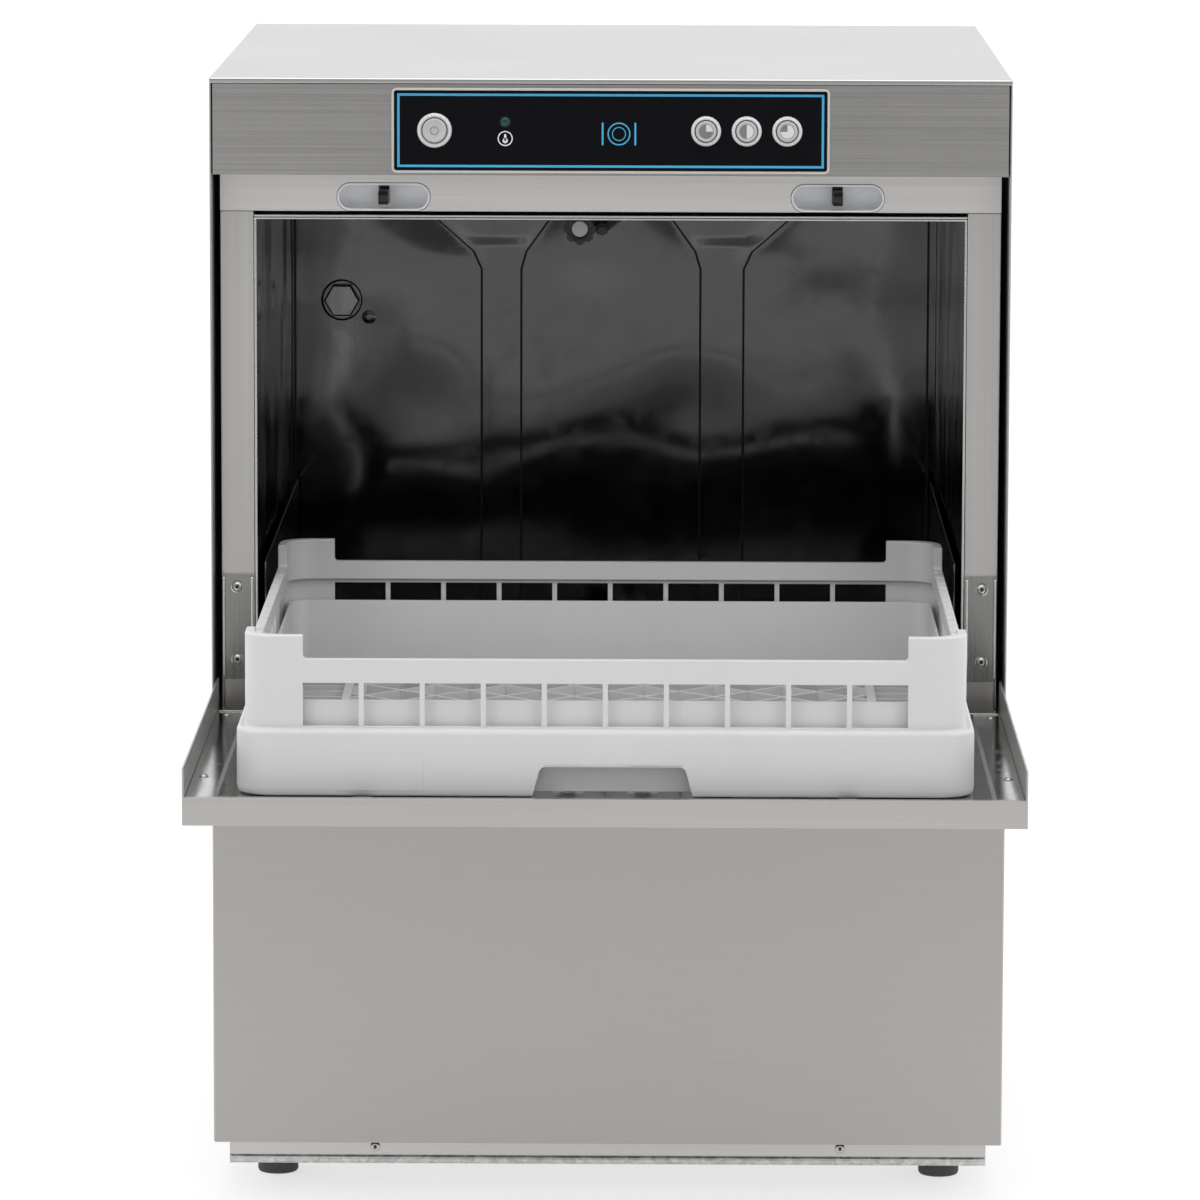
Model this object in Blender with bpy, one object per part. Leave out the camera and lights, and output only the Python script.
"""Under-counter commercial dishwasher with a drop-down door and a square basket drawn out on it.

Metres, +Z up. Sizes along Y are written from the cabinet's front plane, Y growing towards the back, and
the empty "machine" then carries everything so that the origin is under the middle of the whole object.
"""

import math

import bmesh
import bpy
from mathutils import Matrix, Vector

# --- Driving dimensions -------------------------------------------------------------------------------
WIDTH = 0.575
DEPTH = 0.605
HEIGHT = 0.820
SHEET = 0.0015            # folded stainless sheet
GAP = 0.0003              # between pieces that touch
SLIDE = 0.0010            # beside a piece that moves

FOOT_HEIGHT = 0.0240
FOOT_RADIUS = 0.0150
FOOT_INSET_X = 0.0420     # foot's axis from the cabinet's side
FOOT_INSET_Y = 0.0950     # foot's axis from the cabinet's front and back
STUD_RADIUS = 0.0050

PLINTH_INSET = 0.0110
PLINTH_HEIGHT = 0.0177
BASE_SHEET = 0.0020

LID_RIM = 0.0042
FASCIA_HEIGHT = 0.0652
FASCIA_RETURN = 0.0200
FASCIA_FACE = 0.0010      # the fascia's face ahead of the cabinet's front

FRAME_SETBACK = 0.0235    # the frame's face behind the cabinet's front
FRAME_RETURN = 0.0200
RAIL_SHOWN = 0.0281       # the part of the rail seen below the fascia
RAIL_HIDDEN = 0.0057      # the part behind the fascia
JAMB_WIDTH = 0.0240
SILL_HEIGHT = 0.0460
SILL_DROP = 0.0020        # the sill's top below the tray

ROOF_DROP = 0.0047        # the roof's top below the rail's lower edge
BACK_SPACE = 0.0550       # behind the chamber, for the riser pipe
TANK_DROP = 0.0180        # the tank's rim below the tray
TANK_CLEARANCE = 0.1480   # room for the machinery between base and tank
TANK_FLOOR_WIDTH = 0.3200
TANK_FLOOR_DEPTH = 0.3400
TANK_LEAN = 1.4           # a leaning wall is this much thicker when cut level
FILTER_DROP = 0.0420      # the filter plate below the tank's rim
POST_RADIUS = 0.0180

DOOR_SIDE_GAP = 0.0025    # between the door's flange and the cabinet's side
DOOR_SHEET = 0.0012
DOOR_EDGE = 0.0190        # height of the door's front edge
DOOR_LIP = 0.0050
DOOR_FLANGE = 0.0395      # height of the door's side flanges
DOOR_UNDERSIDE = 0.3458
DOOR_TOP_GAP = 0.0028     # below the fascia when the door is shut
HINGE_Y = 0.0040
HINGE_RISE = 0.0042       # hinge axis above the door's underside
PIN_RADIUS = 0.0025
TRAY_RISE = 0.0162        # the tray that the basket stands on, above the door's underside
TRAY_STRIP = 0.0190       # raised strip along each side of the tray
STRIP_RISE = 0.0020
TRAY_BACK = 0.0200        # the tray's rear edge ahead of the cabinet's front

BRACKET_RISE = 0.0310     # foot of the hinge bracket's plate above the hinge axis
BRACKET_HEIGHT = 0.0774

LATCH_X = 0.1635
LATCH_WIDTH = 0.0670
LATCH_HEIGHT = 0.0200
LATCH_DEPTH = 0.0110
CATCH_WIDTH = 0.0070
CATCH_HEIGHT = 0.0100
CATCH_TRAVEL = 0.0020
CATCH_ENTRY = 0.0023      # the catch's nose beyond the shut door's inner skin
STRIKER_WIDTH = 0.0120
STRIKER_HEIGHT = 0.0150

BASKET_SIDE_ROOM = 0.0065 # between basket and chamber wall
BASKET_BACK_ROOM = 0.0055
BASKET_FRONT_ROOM = 0.0020
BASKET_OVERHANG = 0.0220  # the drawn-out basket's front behind the door's edge
BASKET_BAND = 0.0453
BASKET_RAIL_TOP = 0.0926
BASKET_HEIGHT = 0.1088
BASKET_WALL = 0.0030
BASKET_BASE = 0.0030
BASKET_CORNER = 0.0260
UPPER_INSET = 0.0055      # the upper frame stands inside the band
POST_WIDTH = 0.0400
WINDOWS = 10
WINDOW_SILL = 0.0017      # the windows' foot above the band
WINDOW_HEAD = 0.0163      # the windows' top below the rail's
MULLION = 0.0036
NOTCH_X = 0.0050          # the finger notch's middle, beside the basket's
NOTCH_WIDTH = 0.0970
NOTCH_FLARE = 0.0055
NOTCH_HEIGHT = 0.0206
CROSS_BAR_RADIUS = 0.0025
CROSS_BAR_RISE = 0.0012
CROSS_BAR_END = 0.0100    # from the basket's wall

PANEL_WIDTH = 0.3096
PANEL_MARGIN = 0.0041     # the panel's height is the fascia's, less this at each edge
PANEL_THICK = 0.0010
BEZEL_BORDER = 0.0016
BEZEL_PROUD = 0.0035
POWER_INSET = 0.0288      # power button's axis from the panel's end
POWER_RADIUS = 0.0090
PROGRAM_INSET = 0.0284
PROGRAM_PITCH = 0.02905
PROGRAM_RADIUS = 0.0078
BUTTON_PROUD = 0.0045
BUTTON_FLANGE = 0.0012
BUTTON_TRAVEL = 0.0020
LAMP_STEP = 0.0506        # lamp from the power button
LAMP_RISE = 0.0062
LAMP_RADIUS = 0.0035
HOUSING_WIDTH = 0.3400
HOUSING_WALL = 0.0020

ARM_CLEARANCE = 0.0500    # from an arm's tip to the nearest chamber wall
ARM_RADIUS = 0.0090
RINSE_RADIUS = 0.0040
RINSE_OFFSET = 0.0160
RINSE_SHORT = 0.0040      # each end of the rinse arm, inside the wash arm's
ARM_HUB_RADIUS = 0.0260
SPINDLE_RADIUS = 0.0060
SPINDLE_REACH = 0.0060    # how far a spindle enters its arm's hub
UPPER_ARM_DROP = 0.0125   # the upper arm's axis below the roof
LOWER_ARM_DROP = 0.0290   # the lower arm's axis below the tray
ARM_TURN = math.radians(6.4)

PANEL_RETURN = 0.0120
SIDE_RETURN = 0.0150
RECESS_TOP = 0.1500
RECESS_DEPTH = 0.0450
CONNECTION_Z = 0.0980
GLAND_X = 0.1900
DRAIN_X = -0.0600
INLET_X = -0.1500
INLET_RADIUS = 0.0100
RACK_SETBACK = 0.0165
RACK_GAP = 0.0030         # the rack guide's wall from the chamber's
RACK_LEDGE = 0.0180
RACK_HEIGHT = 0.1000

PUMP_Y = 0.1700
PUMP_RISE = 0.0854        # axes of the machinery above the base's floor
MOTOR_RADIUS = 0.0550
MOTOR_LENGTH = 0.1400
MOTOR_END_X = -0.0600
PUMP_RADIUS = 0.0620
PUMP_LENGTH = 0.0447
BOILER_X = 0.1500
BOILER_FRONT = 0.2600
BOILER_RISE = 0.0784
BOILER_RADIUS = 0.0560
DOSING_X = 0.1650
DOSING_FRONT = 0.0700
RISER_X = 0.0600
RISER_RADIUS = 0.0110

# --- Places that follow from them ---------------------------------------------------------------------
SIDE = WIDTH / 2
BASE_TOP = FOOT_HEIGHT + GAP + PLINTH_HEIGHT
BASE_FLOOR = FOOT_HEIGHT + GAP + BASE_SHEET + GAP
BODY_TOP = HEIGHT - LID_RIM - GAP
FASCIA_BOTTOM = BODY_TOP - FASCIA_HEIGHT
HINGE_Z = DOOR_UNDERSIDE + HINGE_RISE
DOOR_REACH = FASCIA_BOTTOM - DOOR_TOP_GAP - HINGE_Z - HINGE_Y
DOOR_EAR = HINGE_RISE + GAP   # the door's ears behind the hinge axis, clear of the panel below
DOOR_SIDE = SIDE - SHEET - DOOR_SIDE_GAP
TRAY_TOP = DOOR_UNDERSIDE + TRAY_RISE
FRAME_SIDE = DOOR_SIDE - DOOR_SHEET - SLIDE
JAMB_INNER = FRAME_SIDE - JAMB_WIDTH
WALL_SIDE = JAMB_INNER - GAP - SHEET
RAIL_BOTTOM = FASCIA_BOTTOM - RAIL_SHOWN
RAIL_TOP = FASCIA_BOTTOM + RAIL_HIDDEN
CHAMBER_ROOF = RAIL_BOTTOM - ROOF_DROP - SHEET
CHAMBER_FRONT = FRAME_SETBACK + SHEET + GAP
CHAMBER_BACK = DEPTH - BACK_SPACE
BASKET_WIDTH = 2 * (WALL_SIDE - BASKET_SIDE_ROOM)
BASKET_FRONT = BASKET_OVERHANG - DOOR_REACH
BASKET_SHUT_FRONT = FRAME_SETBACK + FRAME_RETURN + BASKET_FRONT_ROOM
BASKET_DEPTH = CHAMBER_BACK - BASKET_BACK_ROOM - BASKET_SHUT_FRONT
BASKET_BOTTOM = TRAY_TOP + GAP
BASKET_CENTRE_Y = BASKET_FRONT + BASKET_DEPTH / 2
BASKET_TRAVEL = BASKET_SHUT_FRONT - BASKET_FRONT
WINDOW_LOW = BASKET_BAND + WINDOW_SILL
WINDOW_HIGH = BASKET_RAIL_TOP - WINDOW_HEAD
CROSS_BAR_Z = BASKET_BOTTOM + CROSS_BAR_RISE + CROSS_BAR_RADIUS
CHAMBER_MIDDLE = BASKET_SHUT_FRONT + BASKET_DEPTH / 2
ARM_REACH = min(WALL_SIDE, CHAMBER_BACK - CHAMBER_MIDDLE) - ARM_CLEARANCE
UPPER_ARM_Z = CHAMBER_ROOF - UPPER_ARM_DROP
LOWER_ARM_Z = TRAY_TOP - LOWER_ARM_DROP
TANK_TOP = TRAY_TOP - TANK_DROP
TANK_BOTTOM = BASE_TOP + TANK_CLEARANCE
MIDDLE_Y = (DEPTH - DOOR_REACH) / 2
LOWER_PANEL_TOP = DOOR_UNDERSIDE - SLIDE - 2 * GAP
SILL_TOP = TRAY_TOP - SILL_DROP
BRACKET_LOW = HINGE_Z + BRACKET_RISE
BRACKET_HIGH = BRACKET_LOW + BRACKET_HEIGHT
LATCH_Z = RAIL_BOTTOM + LATCH_HEIGHT / 2 + GAP
CATCH_TIP = HINGE_Y + TRAY_TOP - DOOR_SHEET - HINGE_Z - CATCH_ENTRY
PANEL_HEIGHT = FASCIA_HEIGHT - 2 * PANEL_MARGIN
PANEL_Z = FASCIA_BOTTOM + FASCIA_HEIGHT / 2 - GAP
POWER_X = POWER_INSET - PANEL_WIDTH / 2
PROGRAM_X = [PANEL_WIDTH / 2 - PROGRAM_INSET - PROGRAM_PITCH * step for step in (2, 1, 0)]
LAMP_X = POWER_X + LAMP_STEP
RACK_SIDE = WALL_SIDE - RACK_GAP - SHEET
RACK_TOP = TRAY_TOP + RACK_HEIGHT
RECESS_Y = DEPTH - RECESS_DEPTH
ROUND = 32                # sides of a round piece
SMALL_ROUND = 20


# --- Making solids ------------------------------------------------------------------------------------
def clear_scene():
    for obj in list(bpy.data.objects):
        bpy.data.objects.remove(obj, do_unlink=True)


def empty_at(name, place, parent=None):
    """An empty at a place given in the machine's own sizes."""
    empty = bpy.data.objects.new(name, None)
    empty["place"] = place
    bpy.context.collection.objects.link(empty)
    if parent is not None:
        empty.parent = parent
        empty.location = Vector(place) - Vector(parent["place"])
    return empty


FINISHES = {
    "brushed_steel": ((0.62, 0.62, 0.60), 0.35, 1.0),
    "polished_steel": ((0.30, 0.30, 0.30), 0.20, 1.0),
    "galvanised": ((0.55, 0.55, 0.53), 0.50, 1.0),
    "basket_plastic": ((0.70, 0.71, 0.71), 0.45, 0.0),
    "latch_plastic": ((0.62, 0.64, 0.66), 0.45, 0.0),
    "black_plastic": ((0.02, 0.02, 0.02), 0.40, 0.0),
    "panel_black": ((0.01, 0.01, 0.012), 0.15, 0.0),
    "button_silver": ((0.68, 0.68, 0.68), 0.35, 0.6),
    "lamp_green": ((0.0, 0.22, 0.14), 0.20, 0.0),
    "foot_rubber": ((0.03, 0.03, 0.03), 0.80, 0.0),
    "pump_casting": ((0.10, 0.12, 0.14), 0.60, 0.0),
}


def finish_of(name):
    if name in bpy.data.materials:
        return bpy.data.materials[name]
    colour, roughness, metallic = FINISHES[name]
    made = bpy.data.materials.new(name)
    made.use_nodes = True
    shader = made.node_tree.nodes["Principled BSDF"]
    shader.inputs["Base Color"].default_value = (*colour, 1.0)
    shader.inputs["Roughness"].default_value = roughness
    shader.inputs["Metallic"].default_value = metallic
    made.diffuse_color = (*colour, 1.0)
    return made


def solid(name, shape, finish, parent, smooth=False):
    """Turns a bmesh, drawn in the machine's sizes, into an object placed at its parent's origin."""
    bmesh.ops.recalc_face_normals(shape, faces=shape.faces)
    bmesh.ops.translate(shape, verts=shape.verts, vec=-Vector(parent["place"]))
    mesh = bpy.data.meshes.new(name)
    shape.to_mesh(mesh)
    shape.free()
    obj = bpy.data.objects.new(name, mesh)
    bpy.context.collection.objects.link(obj)
    obj.parent = parent
    mesh.materials.append(finish_of(finish))
    if smooth:
        mesh.shade_smooth()
        mesh.set_sharp_from_angle(angle=math.radians(35))
    return obj


def box_shape(*boxes):
    """Boxes, each ((x, x), (y, y), (z, z))."""
    shape = bmesh.new()
    for sides in boxes:
        middle = Vector([(low + high) / 2 for low, high in sides])
        size = Vector([abs(high - low) for low, high in sides])
        matrix = Matrix.Translation(middle) @ Matrix.Diagonal((*size, 1.0))
        bmesh.ops.create_cube(shape, size=1.0, matrix=matrix)
    return shape


def along(axis, flat, height):
    """A point of an outline drawn across an axis, in (y, z), (x, z) or (x, y)."""
    first, second = flat
    return {
        "X": (height, first, second),
        "Y": (first, height, second),
        "Z": (first, second, height),
    }[axis]


def prism_shape(outline, axis, low, high):
    shape = bmesh.new()
    corners = [shape.verts.new(along(axis, point, low)) for point in outline]
    face = shape.faces.new(corners)
    raised = bmesh.ops.extrude_face_region(shape, geom=[face])
    top = [item for item in raised["geom"] if isinstance(item, bmesh.types.BMVert)]
    bmesh.ops.translate(shape, verts=top, vec=Vector(along(axis, (0, 0), high - low)))
    return shape


def circle(centre, radius, sides=ROUND):
    steps = [math.tau * step / sides for step in range(sides)]
    return [(centre[0] + radius * math.cos(a), centre[1] + radius * math.sin(a)) for a in steps]


def rounded_rectangle(centre, width, height, radius, steps=6):
    points = []
    for corner, (side_x, side_y) in enumerate(((1, 1), (-1, 1), (-1, -1), (1, -1))):
        middle = (centre[0] + side_x * (width / 2 - radius), centre[1] + side_y * (height / 2 - radius))
        for step in range(steps + 1):
            angle = math.pi / 2 * (corner + step / steps)
            points.append((middle[0] + radius * math.cos(angle), middle[1] + radius * math.sin(angle)))
    return points


def turned_shape(profile, axis, centre, sides=ROUND):
    """Turns a profile of (radius, height) points round an axis; it starts and ends on the axis."""
    shape = bmesh.new()
    rings = []
    for radius, height in profile:
        if radius == 0:
            rings.append([shape.verts.new(along(axis, centre, height))])
        else:
            points = circle(centre, radius, sides)
            rings.append([shape.verts.new(along(axis, point, height)) for point in points])
    for ring, following in zip(rings, rings[1:]):
        for side in range(sides):
            after = (side + 1) % sides
            if len(ring) == 1:
                shape.faces.new((ring[0], following[side], following[after]))
            elif len(following) == 1:
                shape.faces.new((ring[side], ring[after], following[0]))
            else:
                shape.faces.new((ring[side], ring[after], following[after], following[side]))
    return shape


def drum_shape(axis, centre, radius, low, high, sides=ROUND):
    return turned_shape([(0, low), (radius, low), (radius, high), (0, high)], axis, centre, sides)


def combine(target, shape, operation):
    """Cuts a shape from an object, or joins it on, with a Boolean modifier."""
    parent = target.parent
    tool = solid(f"{target.name}_{operation.lower()}_{len(target.modifiers)}", shape, "black_plastic", parent)
    tool.hide_render = True
    tool.hide_set(True)
    tool.display_type = "WIRE"
    modifier = target.modifiers.new(operation.lower(), "BOOLEAN")
    modifier.operation = operation
    modifier.object = tool
    modifier.solver = "EXACT"


def cut(target, *shapes):
    for shape in shapes:
        combine(target, shape, "DIFFERENCE")


def join(target, *shapes):
    for shape in shapes:
        combine(target, shape, "UNION")


def mirrored(points):
    """The outline on the other side of the machine."""
    return [(-x, y) for x, y in reversed(points)]


SIDES = (("left", -1), ("right", 1))


# --- Cabinet ------------------------------------------------------------------------------------------
def make_base(machine):
    low, high = FOOT_HEIGHT + GAP, BASE_TOP
    x, y = SIDE - PLINTH_INSET, (PLINTH_INSET, DEPTH - PLINTH_INSET)
    base = solid("base_frame", box_shape(((-x, x), y, (low, high))), "galvanised", machine)
    inside = ((-x + BASE_SHEET, x - BASE_SHEET), (y[0] + BASE_SHEET, y[1] - BASE_SHEET))
    cut(base, box_shape((*inside, (low + BASE_SHEET, high + BASE_SHEET))))
    for depth, y_foot in (("front", FOOT_INSET_Y), ("rear", DEPTH - FOOT_INSET_Y)):
        for side, sign in SIDES:
            centre = (sign * (SIDE - FOOT_INSET_X), y_foot)
            stud_top = low + BASE_SHEET + 0.006
            profile = [
                (0, 0), (FOOT_RADIUS - 0.001, 0), (FOOT_RADIUS, 0.002), (FOOT_RADIUS, FOOT_HEIGHT - 0.004),
                (FOOT_RADIUS - 0.003, FOOT_HEIGHT), (STUD_RADIUS, FOOT_HEIGHT), (STUD_RADIUS, stud_top),
                (0, stud_top),
            ]
            solid(f"foot_{depth}_{side}", turned_shape(profile, "Z", centre, SMALL_ROUND), "foot_rubber",
                  machine, smooth=True)
            hole = (low - 0.002, low + 2 * BASE_SHEET)
            cut(base, drum_shape("Z", centre, STUD_RADIUS + GAP, *hole, SMALL_ROUND))


def make_panels(machine):
    low, high = BASE_TOP + GAP, BODY_TOP
    back = DEPTH - SHEET - GAP
    for side, sign in SIDES:
        outline = [
            (SIDE, GAP), (SIDE, back), (SIDE - SIDE_RETURN, back), (SIDE - SIDE_RETURN, back - SHEET),
            (SIDE - SHEET, back - SHEET), (SIDE - SHEET, GAP),
        ]
        if sign < 0:
            outline = mirrored(outline)
        solid(f"{side}_side_panel", prism_shape(outline, "Z", low, high), "brushed_steel", machine)
    solid("back_panel", box_shape(((-SIDE, SIDE), (DEPTH - SHEET, DEPTH), (RECESS_TOP, high))),
          "brushed_steel", machine)
    lid = solid("top_panel", lid_shape(), "brushed_steel", machine)
    cut(lid, box_shape(((SHEET - SIDE, SIDE - SHEET), (0, DEPTH - SHEET),
                        (HEIGHT - LID_RIM - 0.01, HEIGHT - SHEET))))
    front = [
        (-SHEET, low), (-SHEET, LOWER_PANEL_TOP), (PANEL_RETURN, LOWER_PANEL_TOP),
        (PANEL_RETURN, LOWER_PANEL_TOP - SHEET), (0, LOWER_PANEL_TOP - SHEET), (0, low),
    ]
    lower_side = SIDE - SHEET - 2 * GAP
    sheet = prism_shape(front, "X", -lower_side, lower_side)
    panel = solid("lower_front_panel", sheet, "brushed_steel", machine)
    for sign in (-1, 1):
        edge = sorted((sign * lower_side * 0.99, sign * (SIDE - 2 * GAP)))
        join(panel, box_shape((edge, (-SHEET, 0), (low, LOWER_PANEL_TOP))))


def lid_shape():
    """The lid's outside; its folded rim stands on the panels."""
    shape = box_shape(((-SIDE, SIDE), (-SHEET, DEPTH), (HEIGHT - LID_RIM, HEIGHT)))
    edges = [edge for edge in shape.edges if all(vert.co.z > HEIGHT - 0.001 for vert in edge.verts)]
    bmesh.ops.bevel(shape, geom=edges, offset=0.0012, segments=2, affect="EDGES", profile=0.5)
    return shape


def make_connections(machine):
    """The recess at the back, with the mains gland, the water inlet and the drain."""
    side = SIDE - SHEET - GAP
    low, back = BASE_TOP + GAP, DEPTH - SHEET - GAP
    outline = [
        (RECESS_Y, low), (RECESS_Y, RECESS_TOP), (back, RECESS_TOP), (back, RECESS_TOP - SHEET),
        (RECESS_Y + SHEET, RECESS_TOP - SHEET), (RECESS_Y + SHEET, low),
    ]
    side -= SIDE_RETURN
    plate = solid("connection_plate", prism_shape(outline, "X", -side, side), "galvanised", machine)
    outer = RECESS_Y + SHEET + GAP
    for name, x, hole, length, finish in (
        ("cable_gland", GLAND_X, 0.0080, 0.0260, "black_plastic"),
        ("drain_outlet", DRAIN_X, 0.0140, 0.0300, "black_plastic"),
    ):
        centre = (x, CONNECTION_Z)
        nut = hole + 0.0045
        profile = [
            (0, RECESS_Y - 0.008), (hole, RECESS_Y - 0.008), (hole, outer), (nut, outer),
            (nut, outer + 0.008), (hole, outer + 0.010), (hole, outer + length), (0, outer + length),
        ]
        piece = solid(name, turned_shape(profile, "Y", centre, SMALL_ROUND), finish, machine, smooth=True)
        cut(piece, drum_shape("Y", centre, hole * 0.6, RECESS_Y - 0.001, outer + length + 0.01, SMALL_ROUND))
        cut(plate, drum_shape("Y", centre, hole + GAP, RECESS_Y - 0.01, outer + 0.01, SMALL_ROUND))
    centre = (INLET_X, CONNECTION_Z)
    body = ((INLET_X - 0.0250, INLET_X + 0.0250), (RECESS_Y - 0.0800, RECESS_Y - 0.0150),
            (BASE_FLOOR, CONNECTION_Z + 0.0200))
    valve = solid("inlet_valve", box_shape(body), "pump_casting", machine)
    join(valve, drum_shape("Y", centre, INLET_RADIUS, RECESS_Y - 0.0200, outer + 0.0220, SMALL_ROUND))
    cut(plate, drum_shape("Y", centre, INLET_RADIUS + GAP, RECESS_Y - 0.01, outer + 0.01, SMALL_ROUND))


# --- Controls -----------------------------------------------------------------------------------------
def make_controls(machine):
    side = DOOR_SIDE + SHEET
    front, inner = -FASCIA_FACE, SHEET - FASCIA_FACE
    outline = [
        (front, FASCIA_BOTTOM), (front, BODY_TOP), (FASCIA_RETURN, BODY_TOP),
        (FASCIA_RETURN, BODY_TOP - SHEET), (inner, BODY_TOP - SHEET), (inner, FASCIA_BOTTOM + SHEET),
        (FASCIA_RETURN, FASCIA_BOTTOM + SHEET), (FASCIA_RETURN, FASCIA_BOTTOM),
    ]
    fascia = solid("control_fascia", prism_shape(outline, "X", -side, side), "brushed_steel", machine)
    face = front - GAP
    panel = solid("control_panel", prism_shape(
        rounded_rectangle((0, PANEL_Z), PANEL_WIDTH, PANEL_HEIGHT, 0.0015, 3), "Y", face - PANEL_THICK, face),
        "panel_black", machine)
    outer = rounded_rectangle((0, PANEL_Z), PANEL_WIDTH + 2 * (GAP + BEZEL_BORDER),
                              PANEL_HEIGHT + 2 * (GAP + BEZEL_BORDER), 0.0035, 4)
    opening = rounded_rectangle((0, PANEL_Z), PANEL_WIDTH + 2 * GAP, PANEL_HEIGHT + 2 * GAP, 0.0018, 3)
    rim = prism_shape(outer, "Y", face - BEZEL_PROUD, face)
    bezel = solid("control_bezel", rim, "button_silver", machine)
    cut(bezel, prism_shape(opening, "Y", face - BEZEL_PROUD - 0.01, face + 0.01))
    buttons = [("power_button", POWER_X, POWER_RADIUS)]
    buttons += [(f"program_button_{n}", x, PROGRAM_RADIUS) for n, x in enumerate(PROGRAM_X, 1)]
    for name, x, radius in buttons:
        centre = (x, PANEL_Z)
        pivot = empty_at(f"{name}_slide", (x, face, PANEL_Z), machine)
        tip, flange = face - BUTTON_PROUD, inner + GAP
        profile = [
            (0, tip), (radius - 0.0010, tip), (radius, tip + 0.0010), (radius, flange),
            (radius + 0.0015, flange), (radius + 0.0015, flange + BUTTON_FLANGE), (0, flange + BUTTON_FLANGE),
        ]
        solid(name, turned_shape(profile, "Y", centre), "button_silver", pivot, smooth=True)
        for plate in (panel, fascia):
            cut(plate, drum_shape("Y", centre, radius + 2 * GAP, front - 0.01, inner + 0.0005))
    centre = (LAMP_X, PANEL_Z + LAMP_RISE)
    profile = [
        (0, face - 0.0030), (LAMP_RADIUS * 0.6, face - 0.0026), (LAMP_RADIUS, face - 0.0014),
        (LAMP_RADIUS, inner + 0.002), (0, inner + 0.002),
    ]
    lens = turned_shape(profile, "Y", centre, SMALL_ROUND)
    solid("temperature_lamp", lens, "lamp_green", machine, smooth=True)
    for plate in (panel, fascia):
        cut(plate, drum_shape("Y", centre, LAMP_RADIUS + GAP, front - 0.01, inner + 0.0005, SMALL_ROUND))
    make_control_housing(machine, inner + GAP + BUTTON_FLANGE + BUTTON_TRAVEL + SLIDE)


def make_control_housing(machine, front):
    """The electronics' box behind the fascia, open at its back."""
    half, wall, back = HOUSING_WIDTH / 2, HOUSING_WALL, FRAME_SETBACK + 0.0500
    low, high = FASCIA_BOTTOM + SHEET + 0.0080, BODY_TOP - SHEET - 0.0060
    housing = solid("control_housing", box_shape(((-half, half), (front, back), (low, high))),
                    "black_plastic", machine)
    inside = ((-half + wall, half - wall), (front + wall, back + 0.01), (low + wall, high - wall))
    cut(housing, box_shape(inside))


# --- Frame round the opening --------------------------------------------------------------------------
def make_frame(machine):
    face, sheet_back, back = FRAME_SETBACK, FRAME_SETBACK + SHEET, FRAME_SETBACK + FRAME_RETURN
    rail_top = RAIL_TOP
    outline = [
        (face, RAIL_BOTTOM), (face, rail_top), (back, rail_top), (back, rail_top - SHEET),
        (sheet_back, rail_top - SHEET), (sheet_back, RAIL_BOTTOM),
    ]
    sheet = prism_shape(outline, "X", -FRAME_SIDE, FRAME_SIDE)
    rail = solid("frame_top_rail", sheet, "brushed_steel", machine)
    jamb_low = SILL_TOP - SILL_HEIGHT
    for side, sign in SIDES:
        inner = JAMB_INNER
        outline = [
            (inner, face), (FRAME_SIDE, face), (FRAME_SIDE, sheet_back), (inner + SHEET, sheet_back),
            (inner + SHEET, back), (inner, back),
        ]
        outline = outline if sign > 0 else mirrored(outline)
        jamb = prism_shape(outline, "Z", jamb_low, RAIL_BOTTOM - GAP)
        solid(f"frame_{side}_jamb", jamb, "brushed_steel", machine)
        make_latch(side, sign, rail, machine)
        make_hinge(side, sign, machine)
    outline = [
        (face, jamb_low), (face, SILL_TOP), (back, SILL_TOP), (back, SILL_TOP - SHEET),
        (sheet_back, SILL_TOP - SHEET), (sheet_back, jamb_low),
    ]
    sill_side = WALL_SIDE - GAP
    solid("frame_sill", prism_shape(outline, "X", -sill_side, sill_side), "brushed_steel", machine)


def make_latch(side, sign, rail, machine):
    """A plastic cup set in the rail, with a sprung catch that stands forward out of it."""
    x = sign * LATCH_X
    face, wall = FRAME_SETBACK, 0.0015
    back = face + LATCH_DEPTH + wall
    ends = LATCH_HEIGHT / 2 - 0.0002
    cup = solid(f"{side}_latch_housing", prism_shape(
        rounded_rectangle((x, LATCH_Z), LATCH_WIDTH, LATCH_HEIGHT, ends), "Y", face - 0.0008, back),
        "latch_plastic", machine, smooth=True)
    inside = rounded_rectangle((x, LATCH_Z), LATCH_WIDTH - 2 * wall, LATCH_HEIGHT - 2 * wall, ends - wall)
    cut(cup, prism_shape(inside, "Y", face - 0.01, back - wall))
    slot = ((x - CATCH_WIDTH / 2 - GAP, x + CATCH_WIDTH / 2 + GAP), (face, back + 0.01),
            (LATCH_Z - CATCH_HEIGHT / 2 - GAP, LATCH_Z + CATCH_HEIGHT / 2 + CATCH_TRAVEL + GAP))
    cut(cup, box_shape(slot))
    hole = rounded_rectangle((x, LATCH_Z), LATCH_WIDTH + 2 * GAP, LATCH_HEIGHT + 2 * GAP, ends)
    cut(rail, prism_shape(hole, "Y", face - 0.01, face + 0.01))
    pivot = empty_at(f"{side}_catch_slide", (x, face, LATCH_Z), machine)
    tip = CATCH_TIP
    low, high, stop = LATCH_Z - CATCH_HEIGHT / 2, LATCH_Z + CATCH_HEIGHT / 2, 0.0030
    rear = back + GAP
    nose = [
        (tip, low + 0.003), (tip + 0.004, low), (rear, low), (rear, low - stop), (back + stop, low - stop),
        (back + stop, high + stop), (rear, high + stop), (rear, high), (tip + 0.004, high),
        (tip, high - 0.003),
    ]
    solid(f"{side}_latch_catch", prism_shape(nose, "X", x - CATCH_WIDTH / 2, x + CATCH_WIDTH / 2),
          "black_plastic", pivot)


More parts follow.
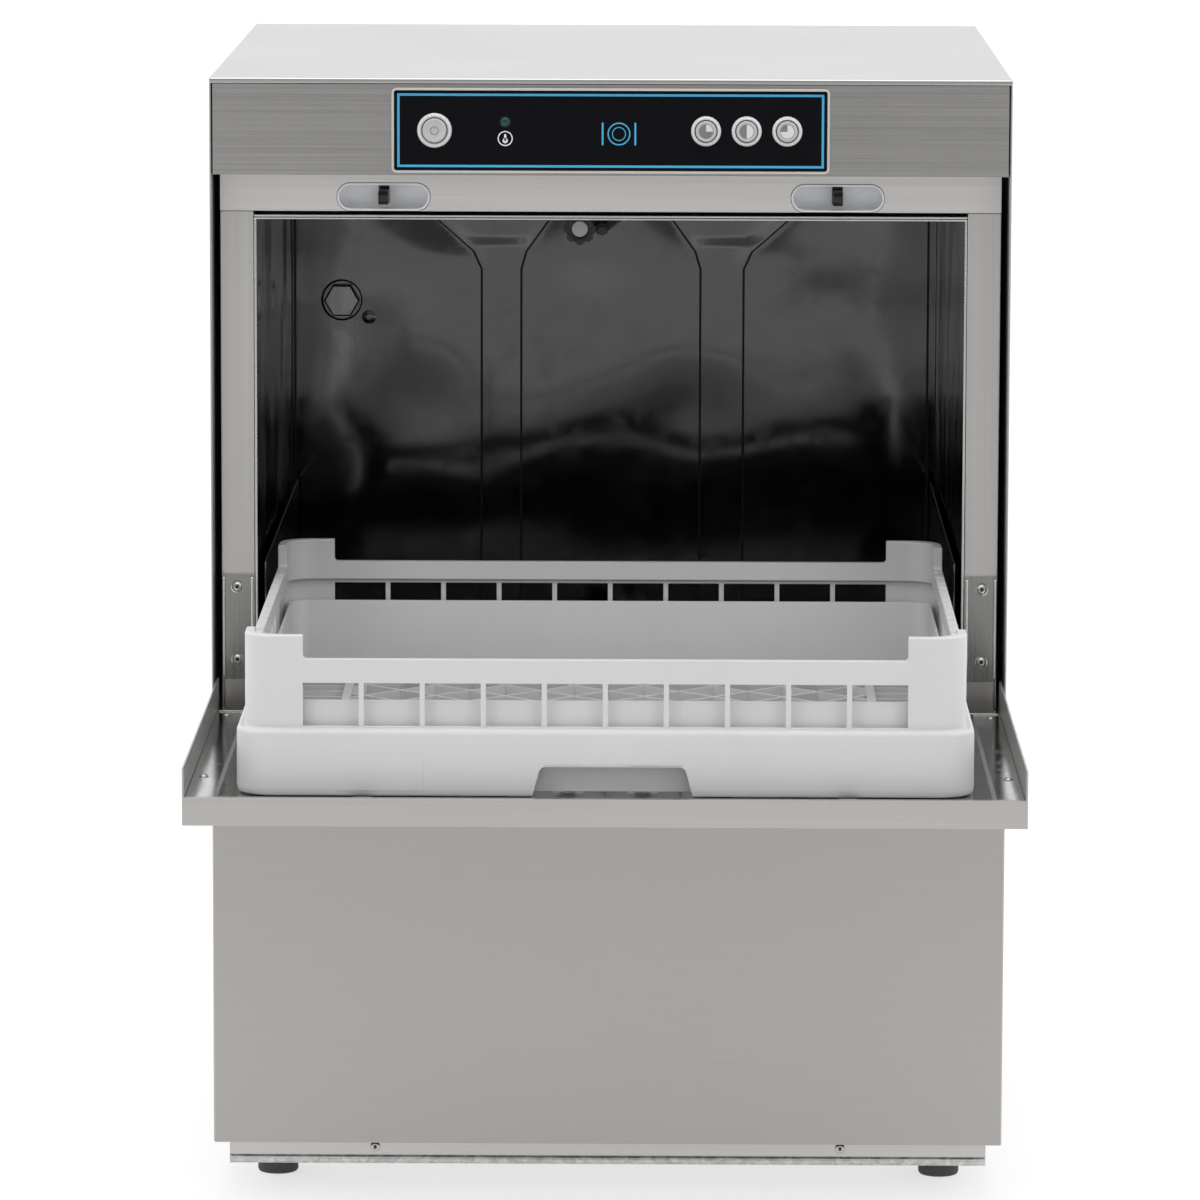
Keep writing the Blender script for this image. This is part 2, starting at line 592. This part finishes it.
def make_hinge(side, sign, machine):
    """A bracket screwed to the jamb, whose ear carries the pin that the door turns on."""
    back = FRAME_SETBACK - GAP
    face = back - SHEET
    outer = FRAME_SIDE - 0.0004
    inner = JAMB_INNER + 0.0006
    ear_out, ear_in = outer, outer - SHEET
    plate = box_shape(((sign * inner, sign * outer), (face, back), (BRACKET_LOW, BRACKET_HIGH)))
    bracket = solid(f"{side}_hinge_bracket", plate, "brushed_steel", machine)
    ear = [
        (back, HINGE_Z - 0.0036), (HINGE_Y, HINGE_Z - 0.0036), (HINGE_Y - 0.0036, HINGE_Z - 0.0012),
        (HINGE_Y - 0.0036, HINGE_Z + 0.0024), (HINGE_Y, HINGE_Z + 0.0060), (face - 0.0020, HINGE_Z + 0.0100),
        (face - 0.0020, BRACKET_HIGH), (back, BRACKET_HIGH),
    ]
    low, high = sorted((sign * ear_in, sign * ear_out))
    join(bracket, prism_shape(ear, "X", low, high))
    cut(bracket, drum_shape("X", (HINGE_Y, HINGE_Z), PIN_RADIUS + GAP, *sorted((sign * (ear_in - 0.005),
        sign * (ear_out + 0.005))), SMALL_ROUND))
    head = ear_in - GAP
    profile = [
        (0, head - 0.0020), (PIN_RADIUS + 0.0015, head - 0.0020), (PIN_RADIUS + 0.0015, head),
        (PIN_RADIUS, head), (PIN_RADIUS, DOOR_SIDE + 0.0010), (0, DOOR_SIDE + 0.0010),
    ]
    profile = [(radius, sign * x) for radius, x in profile]
    solid(f"{side}_hinge_pin", turned_shape(profile, "X", (HINGE_Y, HINGE_Z), SMALL_ROUND), "brushed_steel",
          machine, smooth=True)


# --- Chamber ------------------------------------------------------------------------------------------
def make_chamber(machine):
    outer, back = WALL_SIDE + SHEET, CHAMBER_BACK + SHEET
    low = TANK_TOP + GAP
    for side, sign in SIDES:
        wall = sorted((sign * WALL_SIDE, sign * outer))
        solid(f"chamber_{side}_wall", box_shape((wall, (CHAMBER_FRONT, back), (low, CHAMBER_ROOF))),
              "polished_steel", machine)
        ledge_end, ledge_low = RACK_SIDE - RACK_LEDGE, TRAY_TOP - SHEET
        ledge = [
            (RACK_SIDE, RACK_TOP), (RACK_SIDE + SHEET, RACK_TOP), (RACK_SIDE + SHEET, ledge_low),
            (ledge_end, ledge_low), (ledge_end, TRAY_TOP), (RACK_SIDE, TRAY_TOP),
        ]
        ledge = ledge if sign > 0 else mirrored(ledge)
        rack = prism_shape(ledge, "Y", FRAME_SETBACK + FRAME_RETURN + RACK_SETBACK, CHAMBER_BACK - 0.010)
        solid(f"{side}_rack_guide", rack, "brushed_steel", machine)
    inner = WALL_SIDE - GAP
    back_wall = ((-inner, inner), (CHAMBER_BACK, back), (low, CHAMBER_ROOF))
    solid("chamber_back_wall", box_shape(back_wall), "polished_steel", machine)
    roof = solid("chamber_roof", box_shape(((-outer, outer), (CHAMBER_FRONT, back),
                 (CHAMBER_ROOF + GAP, CHAMBER_ROOF + GAP + SHEET))), "polished_steel", machine)
    through = (CHAMBER_ROOF - 0.01, CHAMBER_ROOF + 0.01)
    cut(roof, drum_shape("Z", (0, CHAMBER_MIDDLE), SPINDLE_RADIUS + GAP, *through))


def funnel_shape(top, bottom, high, low):
    """A straight-sided funnel between two rectangles, each ((x, x), (y, y))."""
    shape = bmesh.new()
    rings = []
    for (xs, ys), z in ((bottom, low), (top, high)):
        corners = ((xs[0], ys[0]), (xs[1], ys[0]), (xs[1], ys[1]), (xs[0], ys[1]))
        rings.append([shape.verts.new((x, y, z)) for x, y in corners])
    shape.faces.new(rings[0])
    shape.faces.new(rings[1])
    for side in range(4):
        after = (side + 1) % 4
        shape.faces.new((rings[0][side], rings[0][after], rings[1][after], rings[1][side]))
    return shape


def tank_span(z, inset=0.0):
    """The tank's rectangle at a height, ((x, x), (y, y)), drawn in by a wall or a clearance."""
    share = (z - TANK_BOTTOM) / (TANK_TOP - TANK_BOTTOM)
    outer, half_floor = WALL_SIDE + SHEET, TANK_FLOOR_WIDTH / 2
    half_x = half_floor + (outer - half_floor) * share - inset
    spans_y = []
    for sign, top in ((-1, CHAMBER_FRONT + FRAME_RETURN), (1, CHAMBER_BACK + SHEET)):
        floor = CHAMBER_MIDDLE + sign * TANK_FLOOR_DEPTH / 2
        spans_y.append(floor + (top - floor) * share - sign * inset)
    return (-half_x, half_x), tuple(spans_y)


def make_tank(machine):
    shell = funnel_shape(tank_span(TANK_TOP), tank_span(TANK_BOTTOM), TANK_TOP, TANK_BOTTOM)
    tank = solid("wash_tank", shell, "polished_steel", machine)
    wall, over, inner_floor = SHEET * TANK_LEAN, TANK_TOP + 0.010, TANK_BOTTOM + SHEET
    cut(tank, funnel_shape(tank_span(over, wall), tank_span(inner_floor, wall), over, inner_floor))
    middle = (0, CHAMBER_MIDDLE)
    filter_low = TANK_TOP - FILTER_DROP
    plate = solid("tank_filter", box_shape((*tank_span(filter_low, wall + SLIDE),
                                            (filter_low, filter_low + SHEET))), "brushed_steel", machine)
    post = POST_RADIUS
    cut(plate, drum_shape("Z", middle, post + GAP, filter_low - 0.01, filter_low + 0.01))
    hub_bottom = LOWER_ARM_Z - ARM_RADIUS - 0.0010
    floor = inner_floor + GAP
    profile = [
        (0, floor), (post, floor), (post, hub_bottom - 0.0060), (SPINDLE_RADIUS + 0.004, hub_bottom - SLIDE),
        (SPINDLE_RADIUS, hub_bottom - SLIDE), (SPINDLE_RADIUS, hub_bottom + SPINDLE_REACH),
        (0, hub_bottom + SPINDLE_REACH),
    ]
    solid("lower_spindle", turned_shape(profile, "Z", middle), "black_plastic", machine, smooth=True)
    pipe = (TANK_FLOOR_WIDTH / 2 - 0.0450, CHAMBER_MIDDLE + 0.0800 - TANK_FLOOR_DEPTH / 2)
    overflow = solid("overflow_pipe", drum_shape("Z", pipe, 0.0140, floor, filter_low - 0.0030, SMALL_ROUND),
                     "black_plastic", machine, smooth=True)
    cut(overflow, drum_shape("Z", pipe, 0.0115, floor + 0.004, filter_low + 0.01, SMALL_ROUND))
    make_heater(machine)


def tube_curve(name, points, radius, finish, machine, closed=False):
    """A pipe bent along points given in the machine's sizes."""
    curve = bpy.data.curves.new(name, "CURVE")
    curve.dimensions = "3D"
    curve.bevel_depth = radius
    curve.bevel_resolution = 3
    curve.use_fill_caps = not closed
    spline = curve.splines.new("POLY")
    spline.points.add(len(points) - 1)
    spline.use_cyclic_u = closed
    for point, place in zip(spline.points, points):
        point.co = (*(Vector(place) - Vector(machine["place"])), 1.0)
    obj = bpy.data.objects.new(name, curve)
    bpy.context.collection.objects.link(obj)
    obj.parent = machine
    curve.materials.append(finish_of(finish))
    return obj


def make_heater(machine):
    """The tank's heating element, one rounded loop round the spindle's post."""
    width, depth = TANK_FLOOR_WIDTH - 0.1200, TANK_FLOOR_DEPTH - 0.1000
    loop = rounded_rectangle((0, CHAMBER_MIDDLE), width, depth, 0.0500, 5)
    points = [(x, y, TANK_BOTTOM + 0.0300) for x, y in loop]
    tube_curve("tank_heater", points, 0.0042, "brushed_steel", machine, closed=True)


# --- Spray arms ---------------------------------------------------------------------------------------
def make_arm(level, z, spindle_side, finish, machine):
    """A wash arm and the thin rinse arm beside it, which turn together about the chamber's middle."""
    pivot = empty_at(f"{level}_arm_spin", (0, CHAMBER_MIDDLE, z), machine)
    middle = (0, CHAMBER_MIDDLE)
    turn = Matrix.Translation((*middle, 0)) @ Matrix.Rotation(-ARM_TURN, 4, "Z") @ Matrix.Translation(
        (-middle[0], -middle[1], 0))
    reach = (CHAMBER_MIDDLE - ARM_REACH, CHAMBER_MIDDLE + ARM_REACH)
    tube = drum_shape("Y", (0, z), ARM_RADIUS, *reach, SMALL_ROUND)
    tube.transform(turn)
    arm = solid(f"{level}_wash_arm", tube, finish, pivot, smooth=True)
    hub = ARM_RADIUS + 0.0010
    join(arm, drum_shape("Z", middle, ARM_HUB_RADIUS, z - hub, z + hub))
    blind = (z + hub - SPINDLE_REACH - SLIDE, z + hub + 0.01) if spindle_side > 0 else (
        z - hub - 0.01, z - hub + SPINDLE_REACH + SLIDE)
    cut(arm, drum_shape("Z", middle, SPINDLE_RADIUS + GAP, *blind))
    passage = drum_shape("Y", (RINSE_OFFSET, z), RINSE_RADIUS + GAP, *reach, SMALL_ROUND)
    passage.transform(turn)
    cut(arm, passage)
    rinse = drum_shape("Y", (RINSE_OFFSET, z), RINSE_RADIUS, reach[0] + RINSE_SHORT, reach[1] - RINSE_SHORT,
                       SMALL_ROUND)
    rinse.transform(turn)
    solid(f"{level}_rinse_arm", rinse, finish, pivot, smooth=True)


def make_arms(machine):
    make_arm("upper", UPPER_ARM_Z, 1, "brushed_steel", machine)
    make_arm("lower", LOWER_ARM_Z, -1, "brushed_steel", machine)
    hub_top = UPPER_ARM_Z + ARM_RADIUS + 0.0010
    spindle = (hub_top - SPINDLE_REACH, CHAMBER_ROOF + SHEET + 0.006)
    solid("upper_spindle", drum_shape("Z", (0, CHAMBER_MIDDLE), SPINDLE_RADIUS, *spindle), "black_plastic",
          machine, smooth=True)
    riser_y, over_z = CHAMBER_BACK + 0.0250, CHAMBER_ROOF + 0.0220
    bend = [math.pi / 2 * step / 6 for step in range(7)]
    route = [(RISER_X, riser_y, TANK_BOTTOM - 0.0200)]
    bend_y, bend_z, turn = riser_y - 0.03, over_z - 0.03, 0.03
    route += [(RISER_X, bend_y + turn * math.cos(a), bend_z + turn * math.sin(a)) for a in bend]
    route += [(RISER_X / 2, CHAMBER_MIDDLE + 0.06, over_z), (0, CHAMBER_MIDDLE, over_z)]
    tube_curve("riser_pipe", route, RISER_RADIUS, "black_plastic", machine)


# --- Machinery under the tank -------------------------------------------------------------------------
def make_machinery(machine):
    floor = BASE_FLOOR
    pump = (PUMP_Y, floor + PUMP_RISE)
    motor_x = (MOTOR_END_X - MOTOR_LENGTH, MOTOR_END_X)
    motor = solid("wash_pump_motor", drum_shape("X", pump, MOTOR_RADIUS, *motor_x), "pump_casting", machine,
                  smooth=True)
    join(motor, box_shape(((motor_x[0] + 0.0200, motor_x[1] - 0.0200), (PUMP_Y - 0.0400, PUMP_Y + 0.0400),
                           (floor, pump[1] - 0.0300))))
    pump_x = (MOTOR_END_X + GAP, MOTOR_END_X + GAP + PUMP_LENGTH)
    casing = solid("wash_pump", drum_shape("X", pump, PUMP_RADIUS, *pump_x), "pump_casting", machine,
                   smooth=True)
    join(casing, drum_shape("X", pump, 0.0200, pump_x[1] - 0.0040, pump_x[1] + 0.0300, SMALL_ROUND))
    centre, boiler_back = (BOILER_X, floor + BOILER_RISE), RECESS_Y - 0.0400
    boiler = solid("rinse_boiler", drum_shape("Y", centre, BOILER_RADIUS, BOILER_FRONT, boiler_back),
                   "black_plastic", machine, smooth=True)
    saddle = (BOILER_FRONT + 0.0400, boiler_back - 0.0400)
    join(boiler, box_shape(((BOILER_X - 0.0300, BOILER_X + 0.0300), saddle, (floor, centre[1] - 0.0300))))
    case = (DOSING_FRONT, DOSING_FRONT + 0.0600)
    body = ((DOSING_X - 0.0350, DOSING_X + 0.0350), case, (floor, floor + 0.0934))
    dosing = solid("dosing_pump", box_shape(body), "black_plastic", machine)
    head = (DOSING_FRONT - 0.0200, DOSING_FRONT + 0.0050)
    join(dosing, drum_shape("Y", (DOSING_X, floor + 0.0584), 0.0240, *head, SMALL_ROUND))


# --- Door ---------------------------------------------------------------------------------------------
def make_door(machine):
    pivot = empty_at("door_hinge", (0, HINGE_Y, HINGE_Z), machine)
    low, tip = DOOR_UNDERSIDE, -DOOR_REACH
    top, flange_top = low + DOOR_EDGE, low + DOOR_FLANGE
    rear, inner = -0.0010, DOOR_SIDE - DOOR_SHEET
    outline = [
        (-DOOR_SIDE, low), (DOOR_SIDE, low), (DOOR_SIDE, flange_top), (inner, flange_top),
        (inner, low + DOOR_SHEET), (-inner, low + DOOR_SHEET), (-inner, flange_top), (-DOOR_SIDE, flange_top),
    ]
    skin = solid("door_outer_skin", prism_shape(outline, "Y", tip, rear), "brushed_steel", pivot)
    edge = [
        (tip, low), (tip, top), (tip + DOOR_LIP, top), (tip + DOOR_LIP, top - DOOR_SHEET),
        (tip + DOOR_SHEET, top - DOOR_SHEET), (tip + DOOR_SHEET, low),
    ]
    join(skin, prism_shape(edge, "X", -DOOR_SIDE, DOOR_SIDE))
    for sign in (-1, 1):
        arm = sorted((sign * inner, sign * DOOR_SIDE))
        through = (arm[0] - 0.01, arm[1] + 0.01)
        join(skin, box_shape((arm, (rear - 0.01, HINGE_Y + DOOR_EAR), (low, HINGE_Z + 0.0100))))
        cut(skin, drum_shape("X", (HINGE_Y, HINGE_Z), PIN_RADIUS + GAP, *through, SMALL_ROUND))
        cut(skin, prism_shape(circle((HINGE_Y + DOOR_EAR, low), 0.0020, 8), "X", *through))
    tray_front, tray_rear = tip + DOOR_LIP + GAP, -TRAY_BACK
    side, step = inner - GAP, inner - GAP - TRAY_STRIP
    raised = TRAY_TOP + STRIP_RISE
    tray = [
        (-side, raised), (-step, raised), (-step + STRIP_RISE, TRAY_TOP), (step - STRIP_RISE, TRAY_TOP),
        (step, raised), (side, raised), (side, raised - DOOR_SHEET), (step, raised - DOOR_SHEET),
        (step - STRIP_RISE, TRAY_TOP - DOOR_SHEET), (-step + STRIP_RISE, TRAY_TOP - DOOR_SHEET),
        (-step, raised - DOOR_SHEET), (-side, raised - DOOR_SHEET),
    ]
    sheet = prism_shape(tray, "Y", tray_front, tray_rear)
    inner_skin = solid("door_inner_skin", sheet, "polished_steel", pivot)
    reach = LATCH_Z - HINGE_Z
    for sign in (-1, 1):
        middle, half_x, half_y = HINGE_Y - reach, STRIKER_WIDTH / 2, STRIKER_HEIGHT / 2
        slot = ((sign * LATCH_X - half_x, sign * LATCH_X + half_x), (middle - half_y, middle + half_y),
                (TRAY_TOP - 0.01, TRAY_TOP + 0.01))
        cut(inner_skin, box_shape(slot))


# --- Basket -------------------------------------------------------------------------------------------
def window_spans(low, high):
    """One wall's row of windows, each the two ends of its opening."""
    pitch = (high - low + MULLION) / WINDOWS
    return [(low + number * pitch, low + (number + 1) * pitch - MULLION) for number in range(WINDOWS)]


def make_basket(machine):
    carrier = empty_at("basket_carry", (0, BASKET_CENTRE_Y + BASKET_TRAVEL / 2, CROSS_BAR_Z), machine)
    level = empty_at("basket_level", (0, BASKET_CENTRE_Y, CROSS_BAR_Z), carrier)
    centre = (0, BASKET_CENTRE_Y)
    z = BASKET_BOTTOM
    upper_width, upper_depth = BASKET_WIDTH - 2 * UPPER_INSET, BASKET_DEPTH - 2 * UPPER_INSET
    band = prism_shape(rounded_rectangle(centre, BASKET_WIDTH, BASKET_DEPTH, BASKET_CORNER), "Z", z,
                       z + BASKET_BAND)
    basket = solid("basket", band, "basket_plastic", level)
    frame = rounded_rectangle(centre, upper_width, upper_depth, BASKET_CORNER - UPPER_INSET)
    join(basket, prism_shape(frame, "Z", z + BASKET_BAND - 0.01, z + BASKET_HEIGHT))
    wall = UPPER_INSET + BASKET_WALL
    inside = rounded_rectangle(centre, BASKET_WIDTH - 2 * wall, BASKET_DEPTH - 2 * wall, BASKET_CORNER - wall)
    cut(basket, prism_shape(inside, "Z", z + BASKET_BASE, z + BASKET_HEIGHT + 0.01))
    half_x, half_y = upper_width / 2 - POST_WIDTH, upper_depth / 2 - POST_WIDTH
    over = BASKET_WIDTH
    high = (z + BASKET_RAIL_TOP, z + BASKET_HEIGHT + 0.01)
    cut(basket, box_shape(((-half_x, half_x), (centre[1] - over, centre[1] + over), high)))
    cut(basket, box_shape(((-over, over), (centre[1] - half_y, centre[1] + half_y), high)))
    low, top = z + WINDOW_LOW, z + WINDOW_HIGH
    through_x, through_y = (-over, over), (centre[1] - over, centre[1] + over)
    cut(basket, box_shape(*[(span, through_y, (low, top)) for span in window_spans(-half_x, half_x)]))
    side_spans = window_spans(centre[1] - half_y, centre[1] + half_y)
    cut(basket, box_shape(*[(through_x, span, (low, top)) for span in side_spans]))
    notch_left, notch_right = NOTCH_X - NOTCH_WIDTH / 2, NOTCH_X + NOTCH_WIDTH / 2
    notch = [
        (notch_left - NOTCH_FLARE, z - 0.01), (notch_left, z + NOTCH_HEIGHT),
        (notch_right, z + NOTCH_HEIGHT), (notch_right + NOTCH_FLARE, z - 0.01),
    ]
    cut(basket, prism_shape(notch, "Y", BASKET_FRONT - 0.01, BASKET_FRONT + wall + 0.001))
    half_bar = BASKET_WIDTH / 2 - wall - CROSS_BAR_END
    slot_side = CROSS_BAR_RADIUS + 3 * GAP
    cut(basket, box_shape(((-half_bar - GAP, half_bar + GAP), (centre[1] - slot_side, centre[1] + slot_side),
                           (z - 0.01, z + BASKET_HEIGHT))))
    bar = drum_shape("X", (BASKET_CENTRE_Y, CROSS_BAR_Z), CROSS_BAR_RADIUS, -half_bar, half_bar, SMALL_ROUND)
    solid("basket_cross_bar", bar, "basket_plastic", carrier, smooth=True)


# --- The whole machine --------------------------------------------------------------------------------
def build():
    clear_scene()
    machine = empty_at("machine", (0, 0, 0))
    machine.location = (0, -MIDDLE_Y, 0)
    make_base(machine)
    make_panels(machine)
    make_connections(machine)
    make_controls(machine)
    make_frame(machine)
    make_chamber(machine)
    make_tank(machine)
    make_arms(machine)
    make_machinery(machine)
    make_door(machine)
    make_basket(machine)


build()
